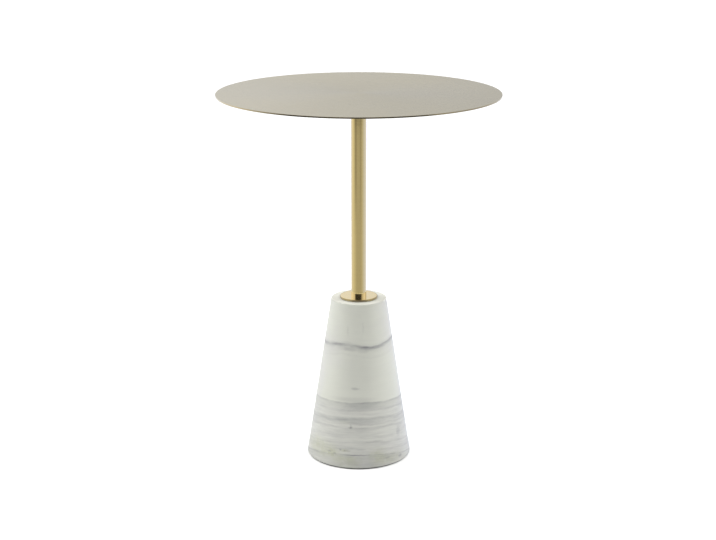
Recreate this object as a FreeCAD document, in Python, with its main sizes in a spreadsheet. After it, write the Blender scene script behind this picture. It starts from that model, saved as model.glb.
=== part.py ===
import FreeCAD, Part
import os
import Sketcher

# Side table: a thin round metal top on a slim tube post, clamped down onto a stone cone.
# Millimetres, +Z up, origin on the floor under the middle of the table.

# Driving dimensions: name, size, what it measures
DIMENSIONS = [
    ("overall_height", 535, "floor to the upper face of the top"),
    ("top_diameter", 400, "round top"),
    ("top_thickness", 2, "sheet of the top"),
    ("top_edge_round", 0.6, "eased upper and lower edges of the top"),
    ("backing_thickness", 6, "plate fixed under the top"),
    ("backing_margin", 20, "backing plate beyond the mounting plate, all round"),
    ("plate_thickness", 4, "plate at the upper end of the post"),
    ("plate_margin", 15, "mounting plate beyond the circle of screws"),
    ("plate_seat_depth", 1, "seat of the post in the mounting plate"),
    ("plate_chamfer", 0.8, "lower edges of both plates"),
    ("post_diameter", 22, "outside of the post tube"),
    ("post_wall", 1.5, "wall of the post tube"),
    ("seat_clearance", 0.05, "round the tube in its seats and the plug in the tube, on the radius"),
    ("plug_length", 20, "tapped plug in the foot of the post"),
    ("plug_chamfer", 0.8, "leading edge of the plug"),
    ("collar_diameter", 55, "collar at the foot of the post"),
    ("collar_thickness", 2.5, "collar"),
    ("collar_seat_depth", 1.5, "seat of the post in the collar"),
    ("collar_round", 1.5, "upper edge of the collar"),
    ("collar_chamfer", 0.4, "lower edge of the collar"),
    ("gasket_thickness", 0.5, "soft ring between collar and stone"),
    ("gasket_inset", 2, "gasket inside the edge of the collar"),
    ("base_diameter", 152, "stone cone at its foot"),
    ("cone_top_diameter", 80, "stone cone at its upper end"),
    ("cone_height", 236, "stone cone without the foot pad"),
    ("cone_edge_round", 1.2, "eased outer edges of the stone"),
    ("recess_diameter", 46, "recess for the nut under the stone"),
    ("recess_depth", 28, "recess for the nut under the stone"),
    ("recess_clearance", 4, "round the washers in the recess, on the radius"),
    ("pad_thickness", 1.5, "foot pad"),
    ("pad_inset", 2.5, "foot pad inside the edges of the stone"),
    ("rod_diameter", 10, "threaded tie rod"),
    ("rod_chamfer", 1, "both ends of the tie rod"),
    ("rod_tail", 3, "tie rod below the nut"),
    ("rod_end_gap", 2, "upper end of the tie rod short of the top of the plug"),
    ("bore_clearance", 2, "round the tie rod in the stone, on the radius"),
    ("rod_hole_clearance", 0.5, "round the tie rod in collar and washers, on the radius"),
    ("thread_clearance", 0.05, "round a thread in its tapped hole, on the radius"),
    ("rubber_thickness", 2, "rubber washer under the ceiling of the recess"),
    ("clamp_thickness", 4, "plate washer under the rubber washer"),
    ("clamp_chamfer", 0.6, "outer edges of the plate washer"),
    ("rod_spring_diameter", 18, "split washer on the tie rod"),
    ("rod_spring_thickness", 2.2, "split washer on the tie rod"),
    ("nut_across_flats", 17, "hexagon nut"),
    ("nut_height", 8, "hexagon nut"),
    ("nut_bevel_angle", 30, "bevel of the corners of the nut, in degrees"),
    ("screw_circle", 80, "circle through the middles of the mounting screws"),
    ("screw_count", 4, "mounting screws round the post"),
    ("screw_diameter", 6, "thread of a mounting screw"),
    ("screw_end_gap", 1.2, "end of a screw short of the underside of the top"),
    ("screw_chamfer", 0.6, "end of a screw"),
    ("screw_hole_clearance", 0.3, "round a screw in the mounting plate and washers, on the radius"),
    ("head_diameter", 10.5, "button head of a screw"),
    ("head_height", 3.3, "button head of a screw"),
    ("head_round", 2.4, "dome of the button head"),
    ("socket_across_flats", 4, "hexagon socket in the head"),
    ("socket_depth", 2, "hexagon socket in the head"),
    ("flat_washer_diameter", 12.5, "flat washer under a screw"),
    ("flat_washer_thickness", 1.6, "flat washer under a screw"),
    ("screw_spring_diameter", 10.8, "split washer under a screw"),
    ("screw_spring_thickness", 1.6, "split washer under a screw"),
    ("split_gap", 1.2, "gap of every split washer"),
    ("split_slant", 1, "lean of that gap through the washer"),
]

# Heights above the floor, each worked out from the pieces below or above it
CONE_FOOT = "dims.pad_thickness"
CONE_TOP = CONE_FOOT + " + dims.cone_height"
COLLAR_FOOT = CONE_TOP + " + dims.gasket_thickness"
POST_FOOT = COLLAR_FOOT + " + dims.collar_thickness - dims.collar_seat_depth"
TOP_UNDERSIDE = "dims.overall_height - dims.top_thickness"
BACKING_UNDERSIDE = TOP_UNDERSIDE + " - dims.backing_thickness"
PLATE_UNDERSIDE = BACKING_UNDERSIDE + " - dims.plate_thickness"
POST_TOP = PLATE_UNDERSIDE + " + dims.plate_seat_depth"
FLAT_WASHER_FOOT = PLATE_UNDERSIDE + " - dims.flat_washer_thickness"
SCREW_HEAD_FACE = FLAT_WASHER_FOOT + " - dims.screw_spring_thickness"
RUBBER_FOOT = CONE_FOOT + " + dims.recess_depth - dims.rubber_thickness"
CLAMP_FOOT = RUBBER_FOOT + " - dims.clamp_thickness"
ROD_SPRING_FOOT = CLAMP_FOOT + " - dims.rod_spring_thickness"
NUT_FOOT = ROD_SPRING_FOOT + " - dims.nut_height"
ROD_FOOT = NUT_FOOT + " - dims.rod_tail"
ROD_TOP = POST_FOOT + " + dims.plug_length - dims.rod_end_gap"

# Diameters that several pieces share
STONE_BORE = "dims.rod_diameter + 2 * dims.bore_clearance"
ROD_HOLE = "dims.rod_diameter + 2 * dims.rod_hole_clearance"
ROD_TAPPING = "dims.rod_diameter + 2 * dims.thread_clearance"
POST_SEAT = "dims.post_diameter + 2 * dims.seat_clearance"
PLATE_DIAMETER = "dims.screw_circle + 2 * dims.plate_margin"
CLAMP_DIAMETER = "dims.recess_diameter - 2 * dims.recess_clearance"
SCREW_HOLE = "dims.screw_diameter + 2 * dims.screw_hole_clearance"
SCREW_TAPPING = "dims.screw_diameter + 2 * dims.thread_clearance"
SCREW_OFFSET = "dims.screw_circle / 2"

MIDDLE = "0"
EDGE_TOLERANCE = 1e-4

doc = FreeCAD.newDocument("side_table")
sheet = doc.addObject("Spreadsheet::Sheet", "dims")
for row, (alias, size, note) in enumerate(DIMENSIONS, start=1):
    sheet.set(f"A{row}", alias)
    sheet.set(f"B{row}", str(size))
    sheet.setAlias(f"B{row}", alias)
    sheet.set(f"C{row}", note)
doc.recompute()


def value(expression):
    """The present value of an expression over the driving dimensions."""
    return float(sheet.evalExpression(expression))


def new_body(label, foot):
    """An empty body that stands at the given height."""
    body = doc.addObject("PartDesign::Body", label)
    body.Label = label
    body.setExpression("Placement.Base.z", foot)
    return body


def origin_feature(body, role):
    """One of the body's own origin planes or axes."""
    return next(item for item in body.Origin.OriginFeatures if item.Role == role)


def new_sketch(body, name, role, lift=None):
    """A sketch on one of the body's origin planes, lifted along its normal if asked."""
    sketch = body.newObject("Sketcher::SketchObject", name)
    sketch.AttachmentSupport = (origin_feature(body, role), [""])
    sketch.MapMode = "FlatFace"
    if lift:
        sketch.setExpression("AttachmentOffset.Base.z", lift)
    return sketch


def dimension(sketch, kind, name, expression, *places):
    """A named dimension of the sketch, bound to the driving dimensions."""
    index = sketch.addConstraint(Sketcher.Constraint(kind, *places, value(expression)))
    sketch.renameConstraint(index, name)
    sketch.setExpression("Constraints." + name, expression)


def place_point(sketch, name, geometry, point, across, up):
    """Dimension a point from the sketch's origin, or put it on an axis."""
    for kind, letter, expression, axis in (("DistanceX", "x", across, -2), ("DistanceY", "y", up, -1)):
        if expression == MIDDLE:
            sketch.addConstraint(Sketcher.Constraint("PointOnObject", geometry, point, axis))
        elif expression is not None:
            dimension(sketch, kind, f"{name}_{letter}", expression, -1, 1, geometry, point)


def draw_circle(sketch, name, diameter, across=MIDDLE):
    """A dimensioned circle whose middle lies on the sketch's horizontal axis."""
    middle = FreeCAD.Vector(value(across), 0, 0)
    circle = Part.Circle(middle, FreeCAD.Vector(0, 0, 1), value(diameter) / 2)
    geometry = sketch.addGeometry(circle, False)
    place_point(sketch, name, geometry, 3, across, MIDDLE)
    dimension(sketch, "Diameter", name + "_size", diameter, geometry)


def draw_outline(sketch, name, corners):
    """A closed line through the corners, each given by two expressions.

    Level and upright edges are held as such, so that every size is dimensioned once.
    """
    points = [FreeCAD.Vector(value(across), value(up), 0) for across, up in corners]
    edges = []
    for start, end in zip(points, points[1:] + points[:1]):
        edges.append(sketch.addGeometry(Part.LineSegment(start, end), False))
    for index, (across, up) in enumerate(corners):
        following = (index + 1) % len(corners)
        next_across, next_up = corners[following]
        sketch.addConstraint(Sketcher.Constraint("Coincident", edges[index], 2, edges[following], 1))
        upright = across == next_across
        level = up == next_up
        if upright:
            sketch.addConstraint(Sketcher.Constraint("Vertical", edges[index]))
        if level:
            sketch.addConstraint(Sketcher.Constraint("Horizontal", edges[index]))
        place_point(sketch, f"{name}_{index}", edges[index], 1,
                    None if upright else across, None if level else up)
    return edges


def draw_hexagon(sketch, name, across_flats, across=MIDDLE):
    """A hexagon in a construction circle, with two corners on the sketch's horizontal axis."""
    middle = FreeCAD.Vector(value(across), 0, 0)
    corner_circle = f"{across_flats} / cos(30 deg)"
    radius = value(corner_circle) / 2
    corners = [middle + FreeCAD.Rotation(FreeCAD.Vector(0, 0, 1), 60 * turn) * FreeCAD.Vector(radius, 0, 0)
               for turn in range(6)]
    circle = sketch.addGeometry(Part.Circle(middle, FreeCAD.Vector(0, 0, 1), radius), True)
    sides = []
    for start, end in zip(corners, corners[1:] + corners[:1]):
        sides.append(sketch.addGeometry(Part.LineSegment(start, end), False))
    for index, side in enumerate(sides):
        after = sides[(index + 1) % len(sides)]
        sketch.addConstraint(Sketcher.Constraint("Coincident", side, 2, after, 1))
        sketch.addConstraint(Sketcher.Constraint("PointOnObject", side, 1, circle))
        if index > 0:
            sketch.addConstraint(Sketcher.Constraint("Equal", sides[0], side))
    sketch.addConstraint(Sketcher.Constraint("PointOnObject", sides[0], 1, -1))
    place_point(sketch, name, circle, 3, across, MIDDLE)
    dimension(sketch, "Diameter", name + "_corners", corner_circle, circle)


def add_feature(body, kind, name, profile):
    """A feature of the body made from a sketch."""
    feature = body.newObject("PartDesign::" + kind, name)
    feature.Profile = profile
    return feature


def pad(body, sketch, height):
    """The sketch raised to the given height."""
    feature = add_feature(body, "Pad", "blank", sketch)
    feature.setExpression("Length", height)
    doc.recompute()
    return feature


def revolve(body, sketch, axis="V_Axis", kind="Revolution", name="turned"):
    """The sketch turned about one of its axes, adding or cutting material."""
    feature = add_feature(body, kind, name, sketch)
    feature.ReferenceAxis = (sketch, [axis])
    feature.Angle = 360
    doc.recompute()
    return feature


def pocket(body, name, sketch, depth, base, upwards=True):
    """A pocket of the given depth that has to take material away."""
    feature = add_feature(body, "Pocket", name, sketch)
    feature.setExpression("Length", depth)
    feature.Reversed = upwards
    doc.recompute()
    if feature.Shape.Volume >= base.Shape.Volume:
        raise RuntimeError(f"{body.Label}: {name} cuts nothing")
    return feature


def rims(feature, diameter, height):
    """Names of the round edges with that diameter at that height above the body's foot."""
    names = []
    for index, edge in enumerate(feature.Shape.Edges, start=1):
        if not isinstance(edge.Curve, Part.Circle):
            continue
        same_size = abs(2 * edge.Curve.Radius - value(diameter)) < EDGE_TOLERANCE
        same_height = abs(edge.Curve.Center.z - value(height)) < EDGE_TOLERANCE
        if same_size and same_height:
            names.append(f"Edge{index}")
    if not names:
        raise RuntimeError(f"{feature.Label}: no edge of {diameter} at {height}")
    return names


def round_edges(body, base, edges, radius):
    """Fillet the named edges."""
    feature = body.newObject("PartDesign::Fillet", "eased")
    feature.Base = (base, edges)
    feature.setExpression("Radius", radius)
    doc.recompute()
    return feature


def bevel_edges(body, base, edges, size):
    """Chamfer the named edges."""
    feature = body.newObject("PartDesign::Chamfer", "bevel")
    feature.Base = (base, edges)
    feature.setExpression("Size", size)
    doc.recompute()
    return feature


def around_post(body, feature=None):
    """Repeat one feature, or else the whole piece, once for each mounting screw."""
    pattern = body.newObject("PartDesign::PolarPattern", "around_post")
    if feature:
        pattern.Originals = [feature]
    else:
        pattern.TransformMode = "Whole shape"
    pattern.Axis = (origin_feature(body, "Z_Axis"), [""])
    pattern.Angle = 360
    pattern.setExpression("Occurrences", "dims.screw_count")
    body.Tip = pattern
    doc.recompute()


def make_ring(label, foot, outer, inner, height):
    """A flat ring of rectangular section."""
    body = new_body(label, foot)
    sketch = new_sketch(body, "ring", "XY_Plane")
    draw_circle(sketch, "outside", outer)
    draw_circle(sketch, "bore", inner)
    return body, pad(body, sketch, height)


def make_disc(label, foot, diameter, height):
    """A plain round plate."""
    body = new_body(label, foot)
    sketch = new_sketch(body, "outline", "XY_Plane")
    draw_circle(sketch, "outside", diameter)
    return body, pad(body, sketch, height)


def drill_screw_holes(body, base, diameter):
    """Round holes right through a plate, on the circle of screws."""
    sketch = new_sketch(body, "screw_hole", "XY_Plane")
    draw_circle(sketch, "hole", diameter, SCREW_OFFSET)
    doc.recompute()
    hole = add_feature(body, "Hole", "hole", sketch)
    hole.DepthType = "ThroughAll"
    hole.Reversed = True
    hole.setExpression("Diameter", diameter)
    doc.recompute()
    if hole.Shape.Volume >= base.Shape.Volume:
        raise RuntimeError(f"{body.Label}: the screw hole cuts nothing")
    around_post(body, hole)


def split_ring(body, base, diameter, thickness, across):
    """Cut the leaning gap of a split washer through one side of its ring."""
    gap = new_sketch(body, "gap", "XZ_Plane")
    near = f"{across} - dims.split_gap / 2 - dims.split_slant / 2"
    far = f"{across} + dims.split_gap / 2 - dims.split_slant / 2"
    corners = [(near, MIDDLE), (far, MIDDLE),
               (far + " + dims.split_slant", thickness), (near + " + dims.split_slant", thickness)]
    draw_outline(gap, "gap", corners)
    doc.recompute()
    pocket(body, "split", gap, diameter + " / 2", base, upwards=False)


def make_table_top():
    """Round sheet with eased edges."""
    body, blank = make_disc("table_top", TOP_UNDERSIDE, "dims.top_diameter", "dims.top_thickness")
    edges = rims(blank, "dims.top_diameter", MIDDLE)
    edges += rims(blank, "dims.top_diameter", "dims.top_thickness")
    round_edges(body, blank, edges, "min(dims.top_edge_round; 0.45 * dims.top_thickness)")
    return body


def make_backing_plate():
    """Plate fixed under the top, tapped for the mounting screws."""
    diameter = PLATE_DIAMETER + " + 2 * dims.backing_margin"
    body, blank = make_disc("top_backing_plate", BACKING_UNDERSIDE, diameter, "dims.backing_thickness")
    bevel = bevel_edges(body, blank, rims(blank, diameter, MIDDLE), "dims.plate_chamfer")
    drill_screw_holes(body, bevel, SCREW_TAPPING)
    return body


def make_mounting_plate():
    """Plate on the upper end of the post, with a shallow seat for the tube."""
    body, blank = make_disc("post_mounting_plate", PLATE_UNDERSIDE, PLATE_DIAMETER, "dims.plate_thickness")
    bevel = bevel_edges(body, blank, rims(blank, PLATE_DIAMETER, MIDDLE), "dims.plate_chamfer")
    sketch = new_sketch(body, "post_seat", "XY_Plane")
    draw_circle(sketch, "seat", POST_SEAT)
    seat = pocket(body, "seat", sketch, "dims.plate_seat_depth", bevel)
    drill_screw_holes(body, seat, SCREW_HOLE)
    return body


def make_post_tube():
    """Straight tube from its seat in the collar to its seat in the mounting plate."""
    bore = "dims.post_diameter - 2 * dims.post_wall"
    return make_ring("post_tube", POST_FOOT, "dims.post_diameter", bore, f"{POST_TOP} - ({POST_FOOT})")[0]


def make_foot_plug():
    """Tapped plug fixed in the foot of the tube, bevelled where it enters."""
    diameter = "dims.post_diameter - 2 * dims.post_wall - 2 * dims.seat_clearance"
    body, blank = make_ring("post_foot_plug", POST_FOOT, diameter, ROD_TAPPING, "dims.plug_length")
    bevel_edges(body, blank, rims(blank, diameter, "dims.plug_length"), "dims.plug_chamfer")
    return body


def make_collar():
    """Turned collar with a stepped bore: the tube's seat above, the rod's hole below."""
    body = new_body("collar", COLLAR_FOOT)
    sketch = new_sketch(body, "half_section", "XZ_Plane")
    outside = "dims.collar_diameter / 2"
    hole = f"({ROD_HOLE}) / 2"
    seat = f"({POST_SEAT}) / 2"
    ledge = "dims.collar_thickness - dims.collar_seat_depth"
    draw_outline(sketch, "collar", [
        (hole, MIDDLE), (outside, MIDDLE), (outside, "dims.collar_thickness"),
        (seat, "dims.collar_thickness"), (seat, ledge), (hole, ledge)])
    blank = revolve(body, sketch)
    upper = rims(blank, "dims.collar_diameter", "dims.collar_thickness")
    eased = round_edges(body, blank, upper, "min(dims.collar_round; 0.6 * dims.collar_thickness)")
    bevel_edges(body, eased, rims(eased, "dims.collar_diameter", MIDDLE), "dims.collar_chamfer")
    return body


def make_gasket():
    """Thin soft ring that keeps the collar off the stone."""
    outer = "dims.collar_diameter - 2 * dims.gasket_inset"
    return make_ring("collar_gasket", CONE_TOP, outer, STONE_BORE, "dims.gasket_thickness")[0]


def make_marble_cone():
    """Truncated stone cone, bored for the tie rod and recessed below for its nut."""
    body = new_body("marble_cone", CONE_FOOT)
    sketch = new_sketch(body, "half_section", "XZ_Plane")
    bore = f"({STONE_BORE}) / 2"
    recess = "dims.recess_diameter / 2"
    draw_outline(sketch, "cone", [
        (recess, MIDDLE), ("dims.base_diameter / 2", MIDDLE),
        ("dims.cone_top_diameter / 2", "dims.cone_height"), (bore, "dims.cone_height"),
        (bore, "dims.recess_depth"), (recess, "dims.recess_depth")])
    blank = revolve(body, sketch)
    edges = rims(blank, "dims.base_diameter", MIDDLE)
    edges += rims(blank, "dims.cone_top_diameter", "dims.cone_height")
    round_edges(body, blank, edges, "dims.cone_edge_round")
    return body


def make_foot_pad():
    """Thin ring between the stone and the floor, set in from both edges of the stone."""
    outer = "dims.base_diameter - 2 * dims.pad_inset"
    inner = "dims.recess_diameter + 2 * dims.pad_inset"
    return make_ring("foot_pad", MIDDLE, outer, inner, "dims.pad_thickness")[0]


def make_tie_rod():
    """Rod from below the nut up into the plug, bevelled at both ends."""
    length = f"{ROD_TOP} - ({ROD_FOOT})"
    body, blank = make_disc("tie_rod", ROD_FOOT, "dims.rod_diameter", length)
    edges = rims(blank, "dims.rod_diameter", MIDDLE) + rims(blank, "dims.rod_diameter", length)
    bevel_edges(body, blank, edges, "dims.rod_chamfer")
    return body


def make_rubber_washer():
    """Soft washer against the ceiling of the recess."""
    return make_ring("rubber_washer", RUBBER_FOOT, CLAMP_DIAMETER, ROD_HOLE, "dims.rubber_thickness")[0]


def make_clamp_washer():
    """Thick plate washer that spreads the pull of the rod."""
    body, blank = make_ring("clamp_washer", CLAMP_FOOT, CLAMP_DIAMETER, ROD_HOLE, "dims.clamp_thickness")
    edges = rims(blank, CLAMP_DIAMETER, MIDDLE) + rims(blank, CLAMP_DIAMETER, "dims.clamp_thickness")
    bevel_edges(body, blank, edges, "dims.clamp_chamfer")
    return body


def make_rod_spring_washer():
    """Split washer under the nut of the tie rod, pressed flat."""
    body, blank = make_ring("tie_rod_spring_washer", ROD_SPRING_FOOT, "dims.rod_spring_diameter",
                            ROD_HOLE, "dims.rod_spring_thickness")
    split_ring(body, blank, "dims.rod_spring_diameter", "dims.rod_spring_thickness", MIDDLE)
    return body


def make_nut():
    """Hexagon nut with both ends of its corners bevelled."""
    body = new_body("tie_rod_nut", NUT_FOOT)
    sketch = new_sketch(body, "hexagon", "XY_Plane")
    draw_hexagon(sketch, "nut", "dims.nut_across_flats")
    draw_circle(sketch, "thread", ROD_TAPPING)
    blank = pad(body, sketch, "dims.nut_height")
    face = "dims.nut_across_flats / 2"
    corner = "dims.nut_across_flats / 2 / cos(30 deg)"
    drop = f"({corner} - {face}) * tan(dims.nut_bevel_angle * 1 deg)"
    top = "dims.nut_height"
    section = new_sketch(body, "corner_bevel", "XZ_Plane")
    draw_outline(section, "below", [(face, MIDDLE), (corner, MIDDLE), (corner, drop)])
    draw_outline(section, "above", [(face, top), (corner, top), (corner, f"{top} - ({drop})")])
    doc.recompute()
    bevel = revolve(body, section, kind="Groove", name="bevelled")
    if bevel.Shape.Volume >= blank.Shape.Volume:
        raise RuntimeError("tie_rod_nut: the bevel cuts nothing")
    return body


def make_mounting_screws():
    """Button-head screws driven up through the mounting plate into the backing plate."""
    body = new_body("mounting_screws", SCREW_HEAD_FACE)
    sketch = new_sketch(body, "half_section", "XZ_Plane")
    shank = SCREW_OFFSET + " + dims.screw_diameter / 2"
    head = SCREW_OFFSET + " + dims.head_diameter / 2"
    crown = "-dims.head_height"
    end = f"{TOP_UNDERSIDE} - dims.screw_end_gap - ({SCREW_HEAD_FACE})"
    outline = draw_outline(sketch, "screw", [
        (SCREW_OFFSET, crown), (head, crown), (head, MIDDLE), (shank, MIDDLE),
        (shank, f"{end} - dims.screw_chamfer"), (shank + " - dims.screw_chamfer", end),
        (SCREW_OFFSET, end)])
    lower = FreeCAD.Vector(value(SCREW_OFFSET), value(crown), 0)
    upper = FreeCAD.Vector(value(SCREW_OFFSET), value(end), 0)
    middle_line = sketch.addGeometry(Part.LineSegment(lower, upper), True)
    sketch.addConstraint(Sketcher.Constraint("Coincident", middle_line, 1, outline[0], 1))
    sketch.addConstraint(Sketcher.Constraint("Coincident", middle_line, 2, outline[-1], 1))
    blank = revolve(body, sketch, axis="Axis0")
    dome = round_edges(body, blank, rims(blank, "dims.head_diameter", crown),
                       "min(dims.head_round; 0.9 * dims.head_height)")
    socket = new_sketch(body, "socket", "XY_Plane", crown)
    draw_hexagon(socket, "socket", "dims.socket_across_flats", SCREW_OFFSET)
    pocket(body, "socket_cut", socket, "dims.socket_depth", dome)
    around_post(body)
    return body


def make_screw_washer(label, foot, diameter, thickness):
    """One washer of a mounting screw, where the first screw stands."""
    body = new_body(label, foot)
    sketch = new_sketch(body, "ring", "XY_Plane")
    draw_circle(sketch, "outside", diameter, SCREW_OFFSET)
    draw_circle(sketch, "bore", SCREW_HOLE, SCREW_OFFSET)
    return body, pad(body, sketch, thickness)


def make_mounting_flat_washers():
    """Flat washers against the mounting plate."""
    body, blank = make_screw_washer("mounting_flat_washers", FLAT_WASHER_FOOT,
                                    "dims.flat_washer_diameter", "dims.flat_washer_thickness")
    around_post(body, blank)
    return body


def make_mounting_spring_washers():
    """Split washers between the flat washers and the screw heads, pressed flat."""
    body, blank = make_screw_washer("mounting_spring_washers", SCREW_HEAD_FACE,
                                    "dims.screw_spring_diameter", "dims.screw_spring_thickness")
    split_ring(body, blank, "dims.screw_spring_diameter", "dims.screw_spring_thickness", SCREW_OFFSET)
    around_post(body)
    return body


PIECES = [
    make_foot_pad(),
    make_marble_cone(),
    make_gasket(),
    make_collar(),
    make_post_tube(),
    make_foot_plug(),
    make_tie_rod(),
    make_rubber_washer(),
    make_clamp_washer(),
    make_rod_spring_washer(),
    make_nut(),
    make_mounting_plate(),
    make_backing_plate(),
    make_mounting_screws(),
    make_mounting_flat_washers(),
    make_mounting_spring_washers(),
    make_table_top(),
]
doc.recompute()

for item in doc.Objects:
    if "Invalid" in item.State or "Error" in item.State:
        raise RuntimeError(f"{item.Label} failed: {item.State}")
for piece in PIECES:
    if piece.Shape.isNull() or not piece.Shape.isValid():
        raise RuntimeError(f"{piece.Label} has no valid shape")

os.makedirs("parts", exist_ok=True)
for piece in PIECES:
    piece.Shape.exportStep(f"parts/{piece.Label}.step")
    box = piece.Shape.BoundBox
    print(f"{piece.Label}: {len(piece.Shape.Solids)} solid(s), {piece.Shape.Volume:.1f} mm3, "
          f"z {box.ZMin:.2f} to {box.ZMax:.2f}")
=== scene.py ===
"""Side table: a round brass top on a slim post that stands on a cone of banded marble.

Laid out as an add-on: the sizes and colours are properties, each piece has an operator, and the
sidebar lists them. Metres throughout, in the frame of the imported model.
"""
import math

import bmesh
import bpy
from bpy.props import FloatProperty, FloatVectorProperty, IntProperty, PointerProperty
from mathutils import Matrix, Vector


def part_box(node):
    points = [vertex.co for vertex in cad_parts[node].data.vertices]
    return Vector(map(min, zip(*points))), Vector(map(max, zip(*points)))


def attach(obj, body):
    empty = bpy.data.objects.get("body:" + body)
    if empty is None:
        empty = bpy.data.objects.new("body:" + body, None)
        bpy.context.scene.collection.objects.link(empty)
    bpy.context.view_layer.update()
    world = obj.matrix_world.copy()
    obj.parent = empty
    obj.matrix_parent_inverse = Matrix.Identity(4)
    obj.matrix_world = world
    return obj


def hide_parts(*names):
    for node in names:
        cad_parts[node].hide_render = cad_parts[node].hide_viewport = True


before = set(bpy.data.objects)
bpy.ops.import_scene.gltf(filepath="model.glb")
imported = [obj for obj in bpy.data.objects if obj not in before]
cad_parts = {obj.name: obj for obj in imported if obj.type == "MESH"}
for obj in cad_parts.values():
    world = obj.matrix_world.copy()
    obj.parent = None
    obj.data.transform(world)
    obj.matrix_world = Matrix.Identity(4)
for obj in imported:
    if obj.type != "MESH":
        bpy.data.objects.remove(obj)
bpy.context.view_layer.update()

bl_info = {
    "name": "Side Table",
    "version": (1, 0, 0),
    "blender": (4, 5, 0),
    "location": "View3D > Sidebar > Side Table",
    "description": "Dresses a round pedestal table in lacquered brass and banded marble",
    "category": "Object",
}

BODY = "root"

MM = 0.001
MERGE_DISTANCE = 1e-6
THREAD_MERGE_DISTANCE = 1e-5
RING_TOLERANCE = 1e-5
SMOOTH_ANGLE = math.radians(35)
BEVEL_SEGMENTS = 5
# Points beside an eased corner, in easings: how far from it, and the least length of the edge
SUPPORT_AT = 2
SUPPORT_ROOM = 5


# Sizes taken from the frame

def reach(node):
    """The radius of a round node, kept inside its own box."""
    low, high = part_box(node)
    return min(high.x, high.y, -low.x, -low.y)


def levels(node):
    """The lowest and highest point of a node."""
    low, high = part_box(node)
    return low.z, high.z


STONE_FOOT, STONE_TOP = levels("marble_cone")


# Properties

def number(name, description, default, **settings):
    """The property for a number."""
    return FloatProperty(name=name, description=description, default=default, **settings)


def size(name, description, default):
    """The property for a length."""
    return number(name, description, default, unit="LENGTH")


def shade(name, description, default):
    """The property for a colour."""
    return FloatVectorProperty(
        name=name, description=description, default=default, subtype="COLOR", min=0, max=1)


def brightness(name, description, default):
    """The property for a light's strength."""
    return number(name, description, default, min=0)


class TableSizes(bpy.types.PropertyGroup):
    """Sizes of the visible details."""

    top_easing: size("Top Easing", "Rounding of the edges of the top", 0.0001)
    collar_easing: size("Collar Easing", "Rounding of the upper edge of the collar", 0.0015)
    stone_easing: size("Stone Easing", "Rounding of the outer edges of the stone", 0.0012)
    stone_top_radius: size("Stone Top Radius", "Radius of the stone at its upper end", 0.040)
    stone_bore_radius: size("Stone Bore Radius", "Radius of the bore down the stone", 0.007)
    recess_radius: size("Recess Radius", "Radius of the recess under the stone", 0.023)
    recess_depth: size("Recess Depth", "Depth of the recess under the stone", 0.028)
    post_wall: size("Post Wall", "Wall of the post tube", 0.0015)
    collar_seat: size("Collar Seat", "Depth of the seat of the post in the collar", 0.0015)
    collar_hole: size("Collar Hole", "Radius of the hole in the collar for the tie rod", 0.0055)
    pad_easing: size("Pad Easing", "Soft edges of the foot pad", 0.0005)
    pad_hole: size("Pad Hole", "Radius of the hole in the foot pad", 0.0255)
    thread_pitch: size("Thread Pitch", "Pitch of the thread of the tie rod", 0.0015)
    thread_depth: size("Thread Depth", "Depth of the thread of the tie rod", 0.0008)
    thread_steps: IntProperty(
        name="Thread Steps", description="Steps in one turn of the thread", default=20, min=8)
    round_steps: IntProperty(
        name="Round Steps", description="Steps round a turned piece", default=192, min=32)


class TableFinishes(bpy.types.PropertyGroup):
    """Colours of the finishes."""

    brass: shade("Brass", "Polished brass, seen square on", (0.89, 0.695, 0.285))
    brushed_brass: shade("Brushed Brass", "Brushed brass of the top", (0.622, 0.539, 0.312))
    edge_brass: shade("Edge Brass", "Polished cut edge of the top", (0.56, 0.47, 0.28))
    # Painted shade: the collar's rounded edge is darkened, most at the front, in place of a dark
    # reflection there
    worn_brass: shade("Worn Brass", "Darker rounded edge of the collar", (0.23, 0.185, 0.11))
    stone: shade("Stone", "Ground of the marble", (0.579, 0.589, 0.523))
    # Painted light: the upper face of the stone is paler than its sides, as if more lit
    painted_light_stone: shade("Stone Face", "Paler upper face of the marble", (0.70, 0.705, 0.645))
    cool_stone: shade("Cool Stone", "Greyer ground of the marble", (0.550, 0.550, 0.519))
    vein: shade("Vein", "Grey of the bands in the marble", (0.25, 0.25, 0.255))
    stain: shade("Stain", "Olive stain near the foot of the marble", (0.44, 0.455, 0.31))
    zinc: shade("Zinc", "Plated steel of the fasteners", (0.60, 0.61, 0.62))
    rubber: shade("Rubber", "Soft washers", (0.025, 0.025, 0.027))
    felt: shade("Felt", "Foot pad", (0.030, 0.030, 0.032))


class StudioSettings(bpy.types.PropertyGroup):
    """Camera and light."""

    camera_distance: size("Camera Distance", "Level distance from the table's axis", 2.101)
    camera_height: size("Camera Height", "Height above the floor", 0.867)
    camera_pitch: number(
        "Camera Pitch", "Downward tilt of the camera", math.radians(15.663), subtype="ANGLE")
    camera_lens: number("Lens", "Focal length in millimetres, on a 36 mm sensor", 76.1, unit="CAMERA")
    camera_shift: number("Shift", "Sideways shift of the frame, as a share of its width", -0.0011)
    overhead: brightness("Overhead", "Strength of the soft light from above", 1.2)
    left_power: number("Left Power", "Power of the left panel, in watts", 32.0, unit="POWER")
    right_power: number("Right Power", "Power of the right panel, in watts", 27.0, unit="POWER")
    surround_top: brightness("Surround Above", "Brightness of the studio overhead", 1.1)
    surround_back: brightness("Surround Behind", "Brightness of the studio behind the table", 0.85)
    surround_front: brightness("Surround in Front", "Brightness of the studio behind the camera", 0.0)
    shown_round: brightness("Shown Around", "Brightness that reflections show round the table", 0.85)
    shown_top: brightness("Shown Above", "Brightness that reflections show overhead", 0.78)


# Mesh helpers

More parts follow.
